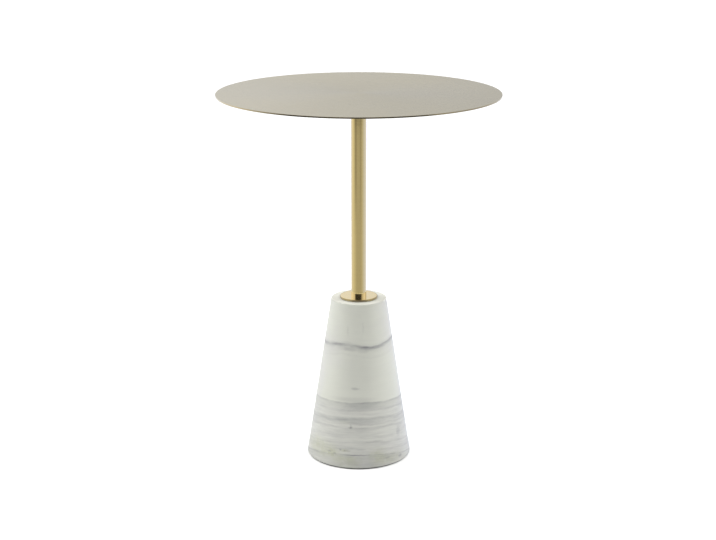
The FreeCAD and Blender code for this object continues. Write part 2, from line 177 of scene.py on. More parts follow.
def with_support(corners, closed):
    """Add points beside each eased corner, so that the flat beyond it stays flat in shading."""
    points = []
    count = len(corners)
    for index, (radius, height, easing) in enumerate(corners):
        here = Vector((radius, height))
        neighbours = []
        for other in (index - 1, index + 1):
            inside = 0 <= other < count
            neighbours.append(Vector(corners[other % count][:2]) if inside or closed else None)
        beside = []
        for neighbour in neighbours:
            room = (neighbour - here).length if neighbour else 0
            if easing and room > SUPPORT_ROOM * easing:
                beside.append(here + (neighbour - here).normalized() * SUPPORT_AT * easing)
            else:
                beside.append(None)
        points += [point for point in (beside[0], here, beside[1]) if point]
    return points


def all_of(bm):
    """All the geometry of a mesh."""
    return bm.verts[:] + bm.edges[:] + bm.faces[:]


def only_verts(geometry):
    """The vertices in what a mesh operator returns."""
    return [item for item in geometry if isinstance(item, bmesh.types.BMVert)]


def ring(bm, radius, height):
    """The edges of one ring of a turned piece."""
    def on_ring(vert):
        level = abs(vert.co.z - height) < RING_TOLERANCE
        return level and abs(vert.co.xy.length - radius) < RING_TOLERANCE
    return [edge for edge in bm.edges if all(on_ring(vert) for vert in edge.verts)]


def turned(corners, closed=True):
    """A half-section spun round the table's axis, with its eased corners rounded.

    Each corner is a radius, a height and an easing. A closed section doesn't touch the axis.
    """
    bm = bmesh.new()
    verts = [bm.verts.new((point.x, 0, point.y)) for point in with_support(corners, closed)]
    pairs = list(zip(verts, verts[1:]))
    if closed:
        pairs.append((verts[-1], verts[0]))
    edges = [bm.edges.new(pair) for pair in pairs]
    bmesh.ops.spin(bm, geom=verts + edges, cent=(0, 0, 0), axis=(0, 0, 1), angle=math.tau,
                   steps=bpy.context.scene.table_sizes.round_steps, use_merge=True)
    bmesh.ops.remove_doubles(bm, verts=bm.verts, dist=MERGE_DISTANCE)
    bmesh.ops.recalc_face_normals(bm, faces=bm.faces)
    for radius, height, easing in corners:
        if easing:
            bmesh.ops.bevel(bm, geom=ring(bm, radius, height), offset=easing, offset_type="OFFSET",
                            affect="EDGES", segments=BEVEL_SEGMENTS, profile=0.5, material=-1)
    return bm


def merged_copy(node):
    """The shape of a CAD node with its loose triangles joined."""
    bm = bmesh.new()
    bm.from_mesh(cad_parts[node].data)
    bmesh.ops.remove_doubles(bm, verts=bm.verts, dist=MERGE_DISTANCE)
    return bm


def new_object(name, bm, material):
    """Make an object of a mesh, in its material."""
    mesh = bpy.data.meshes.new(name)
    bm.to_mesh(mesh)
    bm.free()
    mesh.materials.append(material)
    made = bpy.data.objects.new(name, mesh)
    bpy.context.scene.collection.objects.link(made)
    return made


# Node helpers

def feed(tree, socket, value):
    """Link a socket to another, or set it to a plain value."""
    if isinstance(value, bpy.types.NodeSocket):
        tree.links.new(value, socket)
    else:
        socket.default_value = value


def node(tree, kind, settings=None, **inputs):
    """A node with its settings made and its named inputs fed."""
    made = tree.nodes.new(kind)
    for key, value in (settings or {}).items():
        setattr(made, key, value)
    for key, value in inputs.items():
        feed(tree, made.inputs[key.replace("_", " ")], value)
    return made


def feed_in_order(tree, made, values):
    """Feed a node's first inputs, and give its first output."""
    for socket, value in zip(made.inputs, values):
        feed(tree, socket, value)
    return made.outputs[0]


def calc(tree, operation, *values):
    """A Math node's result."""
    return feed_in_order(tree, node(tree, "ShaderNodeMath", {"operation": operation}), values)


def vector_calc(tree, operation, *values):
    """A Vector Math node's vector result."""
    return feed_in_order(tree, node(tree, "ShaderNodeVectorMath", {"operation": operation}), values)


def length(tree, vector):
    """The length of a vector."""
    return node(tree, "ShaderNodeVectorMath", {"operation": "LENGTH"}, Vector=vector).outputs["Value"]


def split(tree, vector):
    """The X, Y and Z of a vector."""
    return node(tree, "ShaderNodeSeparateXYZ", Vector=vector).outputs


def join(tree, x, y, z=0.0):
    """A vector of its X, Y and Z."""
    return feed_in_order(tree, node(tree, "ShaderNodeCombineXYZ"), (x, y, z))


def remap(tree, value, low, high, to_low=0.0, to_high=1.0, kind="LINEAR"):
    """A value moved from one range to another and held there."""
    made = node(tree, "ShaderNodeMapRange", {"interpolation_type": kind})
    return feed_in_order(tree, made, (value, low, high, to_low, to_high))


def fade(tree, value, low, high, to_low=0.0, to_high=1.0):
    """The same with soft ends."""
    return remap(tree, value, low, high, to_low, to_high, "SMOOTHSTEP")


def between(tree, factor, first, second):
    """A value between two values."""
    return calc(tree, "MULTIPLY_ADD", factor, calc(tree, "SUBTRACT", second, first), first)


def blend(tree, factor, first, second):
    """A colour between two colours."""
    made = node(tree, "ShaderNodeMix", {"data_type": "RGBA"})
    feed(tree, made.inputs["Factor"], factor)
    feed(tree, made.inputs["A"], (*first, 1) if isinstance(first, tuple) else first)
    feed(tree, made.inputs["B"], (*second, 1) if isinstance(second, tuple) else second)
    return made.outputs["Result"]


def noise(tree, vector, scale, detail=2.0, roughness=0.5):
    """A noise value from 0 to 1."""
    made = node(tree, "ShaderNodeTexNoise", Vector=vector, Scale=scale, Detail=detail,
                Roughness=roughness)
    return made.outputs["Fac"]


def colour(finish, share=1.0):
    """A finish colour, or a darker or paler one, as a plain tuple."""
    return tuple(share * part for part in getattr(bpy.context.scene.table_finishes, finish))


def new_group(name, vectors, values, masks):
    """A shader node group, what its vector and value inputs give, and where its masks go."""
    group = bpy.data.node_groups.new(name, "ShaderNodeTree")
    sockets = [(key, "INPUT", "NodeSocketVector") for key in vectors]
    sockets += [(key, "INPUT", "NodeSocketFloat") for key in values]
    sockets += [(key, "OUTPUT", "NodeSocketFloat") for key in masks]
    for key, way, kind in sockets:
        group.interface.new_socket(key, in_out=way, socket_type=kind)
    start, end = group.nodes.new("NodeGroupInput"), group.nodes.new("NodeGroupOutput")
    return group, start.outputs, end.inputs


def use_group(tree, group, **inputs):
    """Place a group in a tree and feed its inputs."""
    made = tree.nodes.new("ShaderNodeGroup")
    made.node_tree = group
    for key, value in inputs.items():
        feed(tree, made.inputs[key], value)
    return made.outputs


def new_material(name, **constants):
    """A material whose shader has its constants set, with its tree and its Object coordinates."""
    material = bpy.data.materials.new(name)
    material.use_nodes = True
    tree = material.node_tree
    shader = tree.nodes["Principled BSDF"]
    for key, value in constants.items():
        shader.inputs[key.replace("_", " ")].default_value = value
    place = tree.nodes.new("ShaderNodeTexCoord").outputs["Object"]
    return material, tree, shader, place


def add_bump(tree, shader, height, strength, distance):
    """Feed the shader's normal from a height."""
    made = node(tree, "ShaderNodeBump", Height=height, Strength=strength, Distance=distance)
    tree.links.new(made.outputs["Normal"], shader.inputs["Normal"])


# Shared effects

def build_brush_group():
    """Fine lines left by brushing or polishing, along the way that the vector is stretched."""
    group, get, put = new_group("Brush Lines", ["Vector"], ["Scale"], ["Lines", "Broad"])
    fine = noise(group, get["Vector"], get["Scale"], detail=4.0, roughness=0.65)
    broad = noise(group, get["Vector"], calc(group, "MULTIPLY", get["Scale"], 0.17))
    feed(group, put["Lines"], remap(group, fine, 0.32, 0.68))
    feed(group, put["Broad"], remap(group, broad, 0.30, 0.70))
    return group


def build_haze_group():
    """Cloudy patches left by handling and wiping."""
    group, get, put = new_group("Haze", ["Vector"], ["Scale"], ["Haze"])
    cloud = noise(group, get["Vector"], get["Scale"], detail=5.0, roughness=0.6)
    feed(group, put["Haze"], fade(group, cloud, 0.38, 0.68))
    return group


def build_vein_group():
    """One layer of the stone: dark at its level, faded above and below, and broken up."""
    group, get, put = new_group(
        "Stone Vein", ["Vector"],
        ["Height", "Level", "Above", "Below", "Strength", "Raggedness"], ["Mask"])
    over = calc(group, "SUBTRACT", get["Height"], get["Level"])
    under = calc(group, "MULTIPLY", over, -1.0)
    above = fade(group, over, 0.0, get["Above"], 1.0, 0.0)
    below = fade(group, under, 0.0, get["Below"], 1.0, 0.0)
    body = calc(group, "MULTIPLY", above, below)
    variant = calc(group, "MULTIPLY", get["Level"], 400.0)
    broken = node(group, "ShaderNodeTexNoise", {"noise_dimensions": "4D"}, Vector=get["Vector"],
                  W=variant, Scale=1.0, Detail=3.0, Roughness=0.6).outputs["Fac"]
    least = calc(group, "SUBTRACT", 1.0, get["Raggedness"])
    whole = remap(group, broken, 0.38, 0.62, least, 1.0)
    strength = calc(group, "MULTIPLY", get["Strength"], whole)
    feed(group, put["Mask"], calc(group, "MULTIPLY", body, strength))
    return group


def build_patch_group():
    """A soft patch round a centre, as wide each way as its reach."""
    group, get, put = new_group(
        "Soft Patch", ["Vector", "Centre", "Reach"], ["Strength"], ["Mask"])
    away = vector_calc(group, "SUBTRACT", get["Vector"], get["Centre"])
    share = length(group, vector_calc(group, "DIVIDE", away, get["Reach"]))
    feed(group, put["Mask"], fade(group, share, 0.25, 1.0, get["Strength"], 0.0))
    return group


# How far round the front of a turned piece reaches: the share of the distance that lies forward. The
# painted shade on the collar's rounded edge is full there and weaker at the sides
FRONT_ARC = (-0.99, -0.86)


def build_edge_group():
    """The band along the edge of a turned piece, with its own strength away from the front."""
    group, get, put = new_group(
        "Turned Edge", ["Vector"], ["Start", "End", "Sides"], ["Mask"])
    parts = split(group, get["Vector"])
    distance = length(group, join(group, parts["X"], parts["Y"]))
    band = fade(group, distance, get["Start"], get["End"])
    forward = calc(group, "DIVIDE", parts["Y"], distance)
    strength = fade(group, forward, *FRONT_ARC, 1.0, get["Sides"])
    feed(group, put["Mask"], calc(group, "MULTIPLY", band, strength))
    return group


# Materials

# Stretch of the brushed lines: round the top and outwards, and along the polishing belt
RING_SWEEP = 1.6
RING_FINENESS = 60.0
BELT_STRETCH = (40.0, 40.0, 900.0)
# Bands along an edge: how far in they start and are full. Then how strong the painted shade on the
# collar's rounded edge is at the sides, against its full strength at the front
CUT_BAND = (0.0005, 0.0001)
SHADE_EDGE_BAND = (0.0013, 0.0005)
# Painted light: the band that makes the stone's upper face paler
PAINTED_LIGHT_BAND = (0.0008, 0.0002)
SHADE_EDGE_SIDES = 0.62
# A painted shade on the front middle of the top, in place of a dimmer reflection there, in radii: its
# middle and its reach. Then its strength
PAINTED_SHADE_MIDDLE = (-0.05, -0.65)
PAINTED_SHADE_REACH = (0.8, 0.75)
PAINTED_SHADE_STRENGTH = 0.68


def around_axis(tree, place):
    """The direction round the table's axis, the outward direction, and the distance from the axis."""
    parts = split(tree, place)
    outward = join(tree, parts["X"], parts["Y"])
    sideways = join(tree, calc(tree, "MULTIPLY", parts["Y"], -1.0), parts["X"])
    around = vector_calc(tree, "NORMALIZE", sideways)
    return around, vector_calc(tree, "NORMALIZE", outward), length(tree, outward)


def edge_band(tree, groups, place, radius, band, sides=1.0):
    """Where a turned piece has the band along its edge."""
    start, full = band
    return use_group(tree, groups["edge"], Vector=place, Start=radius - start, End=radius - full,
                     Sides=sides)["Mask"]


def brushed_brass(groups):
    """Brass brushed in rings round the middle of the top, under clear lacquer, with painted shade
    towards the middle and over the front middle.
    """
    material, tree, shader, place = new_material(
        "Brushed Brass", Metallic=1.0, Anisotropic=0.6, Anisotropic_Rotation=0.25,
        Coat_Weight=1.0, Coat_Roughness=0.22)
    around, outward, distance = around_axis(tree, place)
    sweep = vector_calc(tree, "MULTIPLY", outward, (RING_SWEEP, RING_SWEEP, RING_SWEEP))
    turn = split(tree, sweep)
    stretched = join(tree, turn["X"], turn["Y"], calc(tree, "MULTIPLY", distance, RING_FINENESS))
    lines = use_group(tree, groups["brush"], Vector=stretched, Scale=18.0)
    haze = use_group(tree, groups["haze"], Vector=place, Scale=7.0)["Haze"]

    edge = reach("table_top")
    middle = (PAINTED_SHADE_MIDDLE[0] * edge, PAINTED_SHADE_MIDDLE[1] * edge, levels("table_top")[1])
    painted_shade = use_group(tree, groups["patch"], Vector=place, Centre=middle, Strength=PAINTED_SHADE_STRENGTH,
                     Reach=(PAINTED_SHADE_REACH[0] * edge, PAINTED_SHADE_REACH[1] * edge, 1.0))["Mask"]
    tone = calc(tree, "MULTIPLY_ADD", lines["Lines"], 0.35, 0.3)
    tone = calc(tree, "MULTIPLY_ADD", lines["Broad"], 0.35, tone)
    # Painted shade: darker towards the middle of the top, in place of the sheen of the brushing
    tone = calc(tree, "MULTIPLY", tone, fade(tree, distance, 0.02, 0.16, 0.15, 1.0))
    # Painted shade: darker over the front middle of the top
    tone = calc(tree, "MULTIPLY", tone, calc(tree, "SUBTRACT", 1.0, painted_shade))
    face = blend(tree, tone, colour("brushed_brass", 0.80), colour("brushed_brass"))
    cut = edge_band(tree, groups, place, edge, CUT_BAND)
    feed(tree, shader.inputs["Base Color"], blend(tree, cut, face, colour("edge_brass")))

    rough = calc(tree, "MULTIPLY_ADD", lines["Lines"], 0.08, 0.22)
    rough = calc(tree, "MULTIPLY_ADD", haze, 0.05, rough)
    feed(tree, shader.inputs["Roughness"], between(tree, cut, rough, 0.08))
    tree.links.new(around, shader.inputs["Tangent"])
    add_bump(tree, shader, lines["Lines"], 0.10, 0.00005)
    return material


def plain_brass(groups, name, tint, roughness, coat_roughness, shade_edge_radius=None):
    """Lacquered brass with faint rings from the polishing belt, and a painted shade on its rounded
    edge, darkest at the front, if one is asked for.
    """
    material, tree, shader, place = new_material(
        name, Metallic=1.0, Coat_Weight=1.0, Coat_Roughness=coat_roughness)
    stretched = vector_calc(tree, "MULTIPLY", place, BELT_STRETCH)
    lines = use_group(tree, groups["brush"], Vector=stretched, Scale=1.0)
    haze = use_group(tree, groups["haze"], Vector=place, Scale=22.0)["Haze"]
    face = blend(tree, lines["Broad"], colour("brass", 0.975 * tint), colour("brass", tint))
    if shade_edge_radius:
        # Painted shade: the rounded edge is darkened, most at the front, in place of a dark reflection
        edge_shade = edge_band(tree, groups, place, shade_edge_radius, SHADE_EDGE_BAND, SHADE_EDGE_SIDES)
        face = blend(tree, edge_shade, face, colour("worn_brass"))
    feed(tree, shader.inputs["Base Color"], face)
    rough = calc(tree, "MULTIPLY_ADD", lines["Lines"], 0.02, roughness)
    feed(tree, shader.inputs["Roughness"], calc(tree, "MULTIPLY_ADD", haze, 0.04, rough))
    add_bump(tree, shader, lines["Lines"], 0.02, 0.00002)
    return material


def polished_brass(groups):
    """Brass of the post and the collar."""
    return plain_brass(groups, "Polished Brass", 1.0, 0.07, 0.04, shade_edge_radius=reach("collar"))


def satin_brass(groups):
    """Duller brass of the plates under the top."""
    return plain_brass(groups, "Satin Brass", 0.9, 0.28, 0.22)


# How the layers of the stone lie: their sag and their slope, each with the levels between which it
# changes, then their fold, wave and ripple
LAYER_SAG = 0.22
SAG_LEVELS = (0.0, 0.20)
LAYER_SLOPE = -0.045
SLOPE_LEVELS = (0.10, 0.17)
FOLD_WIDTH = 0.045
FOLD_SHARE = -0.065
WAVE_HEIGHT = 0.005
RIPPLE_HEIGHT = 0.0018
# Levels between which the streaks of the lower part fade out
STREAK_LEVELS = (0.084, 0.098)
# How far the outlines of flecks are shaken, and how much deeper than wide a fleck reaches
FLECK_SHAKE = (0.004, 0.004, 0.002)
FLECK_DEPTH = 2.5
# Grey layers: level at the front, fade above and fade below in millimetres, strength, raggedness
STONE_LAYERS = [
    (178.5, 2.0, 4.8, 0.56, 0.45),
    (179.5, 5.0, 16.0, 0.22, 0.60),
    (164.0, 3.0, 4.0, 0.10, 0.90),
    (97.2, 1.5, 3.5, 0.32, 0.60),
    (96.0, 3.0, 14.0, 0.26, 0.35),
    (86.2, 2.5, 2.8, 0.20, 0.80),
    (73.0, 4.5, 11.0, 0.34, 0.50),
    (65.5, 2.0, 2.5, 0.16, 0.90),
    (60.5, 2.0, 2.5, 0.24, 0.70),
    (47.5, 2.5, 3.0, 0.12, 1.00),
    (39.0, 1.2, 1.6, 0.22, 0.90),
    (30.0, 1.6, 1.8, 0.14, 1.00),
    (21.0, 1.2, 2.0, 0.40, 0.60),
    (19.0, 2.0, 12.0, 0.14, 0.60),
]
# Grey flecks: degrees from the front, level, half width and half height in millimetres, strength
STONE_FLECKS = [
    (12, 176.8, 9.5, 2.0, 0.40),
    (8, 172.5, 12.0, 6.0, 0.22),
    (-5, 117.2, 8.5, 2.8, 0.36),
    (-10, 60.5, 4.0, 2.4, 0.42),
    (54, 9.0, 4.0, 2.8, 0.45),
    (34, 12.8, 7.0, 1.7, 0.36),
    (-20, 199.0, 2.2, 11.0, 0.12),
    (8, 205.0, 2.0, 12.0, 0.10),
    (56, 46.0, 4.5, 11.0, 0.26),
    (6, 91.5, 38.0, 9.0, 0.26),
    (0, 70.0, 40.0, 7.0, 0.12),
    # Painted shade: a wide soft grey patch over the front of the foot, towards the floor
    (5, 8.0, 56.0, 22.0, 0.18),
    (32, 175.2, 16.0, 3.4, 0.26),
    (-36, 178.5, 17.0, 4.0, 0.18),
    (-14, 173.8, 16.0, 4.2, 0.24),
    (-3, 20.6, 30.0, 1.3, 0.52),
    (-36, 22.2, 4.2, 1.8, 0.38),
    (-29, 20.8, 3.6, 1.6, 0.32),
    (-22, 27.2, 2.4, 2.0, 0.46),
    (-13, 26.8, 7.0, 1.2, 0.30),
    (14, 39.0, 22.0, 1.6, 0.20),
    (0, 138.0, 38.0, 40.0, 0.08),
    (-6, 101.0, 42.0, 5.5, 0.18),
    (-16, 87.0, 16.0, 5.0, 0.12),
    (-24, 72.5, 14.0, 5.0, 0.12),
    (4, 58.0, 38.0, 6.0, 0.12),
    (-8, 29.0, 38.0, 6.0, 0.10),
    (-26, 173.5, 14.0, 4.5, 0.11),
    (22, 173.5, 16.0, 4.5, 0.11),
    (3, 29.2, 11.0, 1.4, 0.24),
    (-17, 26.6, 1.6, 2.0, 0.36),
    (5, 60.2, 17.0, 1.4, 0.18),
    (-10, 62.8, 2.2, 5.0, 0.22),
]
# Olive and brown stains in the same terms
STONE_STAINS = [
    (-48, 24.0, 36.0, 18.0, 0.56),
    (-32, 21.0, 12.0, 7.0, 0.60),
    (-16, 26.8, 10.0, 3.0, 0.60),
    (-12, 12.0, 30.0, 13.0, 0.60),
    (22, 17.0, 20.0, 17.0, 0.60),
    (40, 12.0, 26.0, 10.0, 0.40),
    (-15, 68.0, 16.0, 4.5, 0.25),
    (-10, 60.5, 5.0, 3.0, 0.30),
]


def on_stone(degrees, level):
    """A point on the face of the stone."""
    sizes = bpy.context.scene.table_sizes
    foot = reach("marble_cone")
    rise = (level - STONE_FOOT) / (STONE_TOP - STONE_FOOT)
    radius = foot + (sizes.stone_top_radius - foot) * rise
    turn = math.radians(degrees)
    return radius * math.sin(turn), -radius * math.cos(turn), level


def stone_height(tree, place, parts):
    """Height in the stone's own layers, which sag towards the sides and ripple."""
    foot = reach("marble_cone")
    taper = (bpy.context.scene.table_sizes.stone_top_radius - foot) / (STONE_TOP - STONE_FOOT)
    sag = remap(tree, parts["Z"], *SAG_LEVELS, LAYER_SAG, 0.0)
    slope = fade(tree, parts["Z"], *SLOPE_LEVELS, 0.0, LAYER_SLOPE)
    depth = calc(tree, "ADD", parts["Y"], calc(tree, "MULTIPLY_ADD", parts["Z"], taper, foot))
    level = calc(tree, "MULTIPLY_ADD", depth, sag, parts["Z"])
    level = calc(tree, "MULTIPLY_ADD", parts["X"], slope, level)
    fold = calc(tree, "SINE", calc(tree, "MULTIPLY", parts["X"], math.pi / FOLD_WIDTH))
    level = calc(tree, "MULTIPLY_ADD", fold, calc(tree, "MULTIPLY", slope, FOLD_SHARE), level)
    wave = calc(tree, "SUBTRACT", noise(tree, place, 22.0, detail=1.0), 0.5)
    ripple = calc(tree, "SUBTRACT", noise(tree, place, 120.0, detail=3.0), 0.5)
    level = calc(tree, "MULTIPLY_ADD", wave, WAVE_HEIGHT, level)
    return calc(tree, "MULTIPLY_ADD", ripple, RIPPLE_HEIGHT, level)


def drawn_out(tree, parts, height, along, across):
    """A vector for noise that runs out along the layers."""
    return vector_calc(tree, "MULTIPLY", join(tree, parts["X"], parts["Y"], height),
                       (along, along, across))


def add_flecks(tree, groups, place, flecks, total):
    """Add soft patches on the face of the stone to a mask."""
    for degrees, level, half_width, half_height, strength in flecks:
        reached = [MM * size for size in (half_width, FLECK_DEPTH * half_width, half_height)]
        patch = use_group(tree, groups["patch"], Vector=place, Centre=on_stone(degrees, MM * level),
                          Reach=reached, Strength=strength)["Mask"]
        total = calc(tree, "ADD", total, patch)
    return total


def banded_marble(groups):
    """Pale marble with level grey layers, finer towards the foot, and olive stains there. Its upper
    face is made paler as painted light, and the front of its foot greyer as painted shade.
    """
    material, tree, shader, place = new_material("Banded Marble", Specular_IOR_Level=0.4)
    parts = split(tree, place)
    height = stone_height(tree, place, parts)
    ragged = drawn_out(tree, parts, height, 70.0, 300.0)
    shaken = node(tree, "ShaderNodeTexNoise", Vector=place, Scale=240.0, Detail=2.0).outputs["Color"]
    shaken = vector_calc(tree, "MULTIPLY_ADD", shaken, FLECK_SHAKE, place)
    shaken = vector_calc(tree, "SUBTRACT", shaken, tuple(part / 2 for part in FLECK_SHAKE))

    broad = noise(tree, drawn_out(tree, parts, height, 22.0, 190.0), 1.0, detail=3.0, roughness=0.6)
    fine = noise(tree, drawn_out(tree, parts, height, 38.0, 620.0), 1.0, detail=4.0, roughness=0.7)
    streaked = fade(tree, height, *STREAK_LEVELS, 1.0, 0.16)
    streaks = calc(tree, "MULTIPLY_ADD", remap(tree, fine, 0.40, 0.70), 0.18,
                   remap(tree, broad, 0.42, 0.68, 0.0, 0.20))
    grey = calc(tree, "MULTIPLY", streaks, streaked)
    for level, above, below, strength, raggedness in STONE_LAYERS:
        layer = use_group(tree, groups["vein"], Vector=ragged, Height=height, Level=MM * level,
                          Above=MM * above, Below=MM * below, Strength=strength,
                          Raggedness=raggedness)["Mask"]
        grey = calc(tree, "ADD", grey, layer)
    grey = add_flecks(tree, groups, shaken, STONE_FLECKS, grey)
    grey = node(tree, "ShaderNodeClamp", Value=grey).outputs[0]

    stain = add_flecks(tree, groups, shaken, STONE_STAINS, 0.0)
    mottle = remap(tree, noise(tree, place, 110.0, detail=4.0, roughness=0.65), 0.36, 0.62, 0.25, 1.0)
    stain = calc(tree, "MULTIPLY", stain, mottle)

    cloud = noise(tree, place, 12.0, detail=3.0)
    neutral = calc(tree, "MAXIMUM", calc(tree, "MULTIPLY", streaked, 0.55),
                   fade(tree, cloud, 0.45, 0.65, 0.0, 0.8))
    ground = blend(tree, neutral, colour("stone"), colour("cool_stone"))
    ground = blend(tree, stain, ground, colour("stain"))
    # Painted light: the upper face of the stone is made paler than the sides
    start, full = PAINTED_LIGHT_BAND
    face = fade(tree, parts["Z"], STONE_TOP - start, STONE_TOP - full)
    ground = blend(tree, face, ground, colour("painted_light_stone"))
    feed(tree, shader.inputs["Base Color"], blend(tree, grey, ground, colour("vein")))

    grain = noise(tree, place, 900.0, detail=2.0)
    rough = calc(tree, "MULTIPLY_ADD", grey, 0.10, 0.36)
    feed(tree, shader.inputs["Roughness"], calc(tree, "MULTIPLY_ADD", grain, 0.08, rough))
    add_bump(tree, shader, grain, 0.06, 0.0001)
    return material


def zinc_steel(groups):
    """Bright zinc plate with a faint mottle."""
    material, tree, shader, place = new_material("Zinc Steel", Metallic=1.0)
    haze = use_group(tree, groups["haze"], Vector=place, Scale=260.0)["Haze"]
    warm = tuple(part * tint for part, tint in zip(colour("zinc"), (1.02, 0.97, 0.86)))
    feed(tree, shader.inputs["Base Color"], blend(tree, haze, colour("zinc"), warm))
    feed(tree, shader.inputs["Roughness"], remap(tree, haze, 0.0, 1.0, 0.24, 0.40))
    add_bump(tree, shader, noise(tree, place, 2500.0), 0.05, 0.00005)
    return material


def soft_rubber(groups):
    """Matte black rubber."""
    material, tree, shader, place = new_material("Soft Rubber", Specular_IOR_Level=0.35)
    haze = use_group(tree, groups["haze"], Vector=place, Scale=180.0)["Haze"]
    dusty = blend(tree, haze, colour("rubber"), colour("rubber", 2.2))
    feed(tree, shader.inputs["Base Color"], dusty)
    feed(tree, shader.inputs["Roughness"], remap(tree, haze, 0.0, 1.0, 0.55, 0.75))
    add_bump(tree, shader, noise(tree, place, 1800.0), 0.15, 0.0001)
    return material


def dark_felt(groups):
    """Pressed felt with loose fibres."""
    material, tree, shader, place = new_material(
        "Dark Felt", Specular_IOR_Level=0.1, Sheen_Weight=0.35, Sheen_Roughness=0.6)
    fibres = node(tree, "ShaderNodeTexNoise", Vector=place, Scale=1400.0, Detail=4.0,
                  Distortion=3.0).outputs["Fac"]
    thread = remap(tree, fibres, 0.45, 0.70)
    fluffy = blend(tree, thread, colour("felt"), colour("felt", 3.0))
    feed(tree, shader.inputs["Base Color"], fluffy)
    feed(tree, shader.inputs["Roughness"], remap(tree, thread, 0.0, 1.0, 0.88, 0.98))
    add_bump(tree, shader, fibres, 0.5, 0.0004)
    return material


# Finishes by slot
FINISH_MAKERS = {
    "brushed_brass": brushed_brass,
    "polished_brass": polished_brass,
    "satin_brass": satin_brass,
    "marble": banded_marble,
    "zinc_steel": zinc_steel,
    "soft_rubber": soft_rubber,
    "felt": dark_felt,
}
GROUP_BUILDERS = {
    "brush": build_brush_group,
    "haze": build_haze_group,
    "vein": build_vein_group,
    "patch": build_patch_group,
    "edge": build_edge_group,
}
built_groups = {}
built_finishes = {}


def finish_of(slot):
    """The finish of a slot, made the first time that it is asked for."""
    if not built_groups:
        built_groups.update({key: build() for key, build in GROUP_BUILDERS.items()})
    if slot not in built_finishes:
        built_finishes[slot] = FINISH_MAKERS[slot](built_groups)
    return built_finishes[slot]


# Pieces

def finish_piece(name, bm, slot, *nodes):
    """Make a piece of the mesh, in the finish of its slot, and let it stand for its CAD nodes."""
    piece = new_object(name, bm, finish_of(slot))
    mesh = piece.data
    if not mesh.polygons:
        raise RuntimeError(f"{name} has no faces")
    mesh.shade_smooth()
    mesh.set_sharp_from_angle(angle=SMOOTH_ANGLE)
    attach(piece, BODY)
    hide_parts(*nodes)


def finish_copy(name, slot, node):
    """Make a piece of a CAD node's own shape."""
    finish_piece(name, merged_copy(node), slot, node)


def wind_thread(bm, root, crest, low, high):
    """Wind the teeth of a thread up a rod, past both of its ends."""
    sizes = bpy.context.scene.table_sizes
    pitch = sizes.thread_pitch
    tooth = [bm.verts.new(place) for place in (
        (root, 0, low - pitch), (crest, 0, low - pitch / 2), (root, 0, low))]
    flanks = [bm.edges.new(pair) for pair in zip(tooth, tooth[1:])]
    bmesh.ops.spin(bm, geom=tooth + flanks, cent=(0, 0, 0), axis=(0, 0, 1), angle=math.tau,
                   dvec=(0, 0, pitch / sizes.thread_steps), steps=sizes.thread_steps)
    turns = math.ceil((high - low) / pitch) + 1
    made = 1
    while made < turns:
        copy = bmesh.ops.duplicate(bm, geom=all_of(bm))["geom"]
        bmesh.ops.translate(bm, verts=only_verts(copy), vec=(0, 0, made * pitch))
        made *= 2
    bmesh.ops.remove_doubles(bm, verts=bm.verts, dist=THREAD_MERGE_DISTANCE)


def end_thread(bm, level, side, root, tip):
    """Cut a thread off level, and close it with a narrower tip."""
    bmesh.ops.bisect_plane(bm, geom=all_of(bm), dist=MERGE_DISTANCE, plane_co=(0, 0, level),
                           plane_no=(0, 0, side), clear_outer=True)
    rim = [edge for edge in bm.edges if edge.is_boundary
           and all(abs(vert.co.z - level) < RING_TOLERANCE for vert in edge.verts)]
    end = only_verts(bmesh.ops.extrude_edge_only(bm, edges=rim)["geom"])
    narrower = (root - tip) / root
    bmesh.ops.translate(bm, verts=end, vec=(0, 0, side * tip))
    bmesh.ops.scale(bm, verts=end, vec=(narrower, narrower, 1))
    bmesh.ops.contextual_create(bm, geom=end)


# Operators

class SIDE_TABLE_OT_top(bpy.types.Operator):
    """Make the round top"""
    bl_idname = "side_table.top"
    bl_label = "Top"

    def execute(self, context):
        sizes = context.scene.table_sizes
        low, high = levels("table_top")
        radius = reach("table_top")
        bm = turned([(0, low, 0), (radius, low, sizes.top_easing), (radius, high, sizes.top_easing),
                     (0, high, 0)], closed=False)
        finish_piece("top_sheet", bm, "brushed_brass", "table_top")
        return {"FINISHED"}


class SIDE_TABLE_OT_plates(bpy.types.Operator):
    """Make the two plates under the top"""
    bl_idname = "side_table.plates"
    bl_label = "Plates Under the Top"

    def execute(self, context):
        for name in ("top_backing_plate", "post_mounting_plate"):
            finish_copy("brass_" + name, "satin_brass", name)
        return {"FINISHED"}


class SIDE_TABLE_OT_screws(bpy.types.Operator):
    """Make the mounting screws and their washers"""
    bl_idname = "side_table.screws"
    bl_label = "Mounting Screws"

    def execute(self, context):
        for name in ("mounting_screws", "mounting_flat_washers", "mounting_spring_washers"):
            finish_copy("zinc_" + name, "zinc_steel", name)
        return {"FINISHED"}


class SIDE_TABLE_OT_post(bpy.types.Operator):
    """Make the post and the plug in its foot"""
    bl_idname = "side_table.post"
    bl_label = "Post"

    def execute(self, context):
        sizes = context.scene.table_sizes
        low, high = levels("post_tube")
        outside = reach("post_tube")
        inside = outside - sizes.post_wall
        bm = turned([(inside, low, 0), (outside, low, 0), (outside, high, 0), (inside, high, 0)])
        finish_piece("post", bm, "polished_brass", "post_tube")
        finish_copy("post_plug", "zinc_steel", "post_foot_plug")
        return {"FINISHED"}


